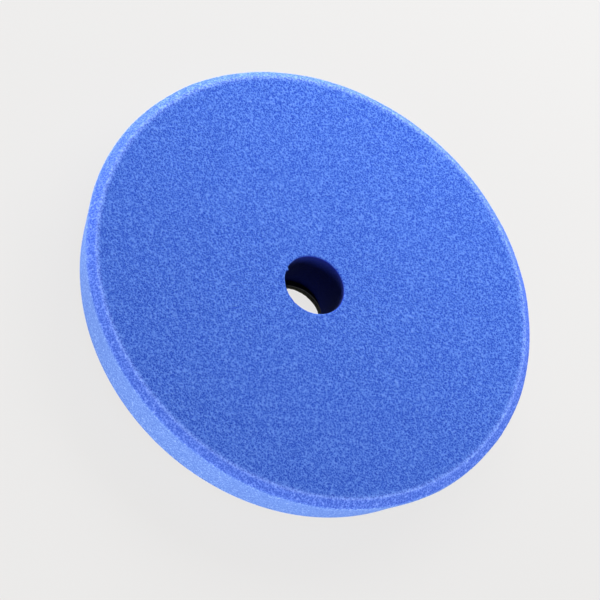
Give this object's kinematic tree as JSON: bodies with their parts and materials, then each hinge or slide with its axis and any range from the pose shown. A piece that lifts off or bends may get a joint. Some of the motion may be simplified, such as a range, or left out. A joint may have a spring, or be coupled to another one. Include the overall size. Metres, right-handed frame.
{
  "type": "polishing pad",
  "caption": "Round foam polishing pad with a shallow bevelled edge, tapered side wall, centre hole and hook-and-loop backing.",
  "frame": {"origin": "centre of the loop face, at the bottom of the pad", "axes": "+Z along the pad's axis, from the loop face towards the polishing face; the pad is round, so X and Y are any two directions across it"},
  "size_m": [0.1652, 0.1652, 0.0235],
  "materials": {
    "foam": "open-cell polyurethane foam, matt blue",
    "hot_melt": "black hot-melt adhesive film, satin",
    "loop_ground": "knitted nylon ground, dark grey, matt",
    "loop_pile": "raised nylon loops, olive grey, fuzzy"
  },
  "bodies": {
    "root": {"foam_pad": "foam", "adhesive_film": "hot_melt", "loop_base_fabric": "loop_ground", "loop_pile": "loop_pile"}
  },
  "joints": []
}
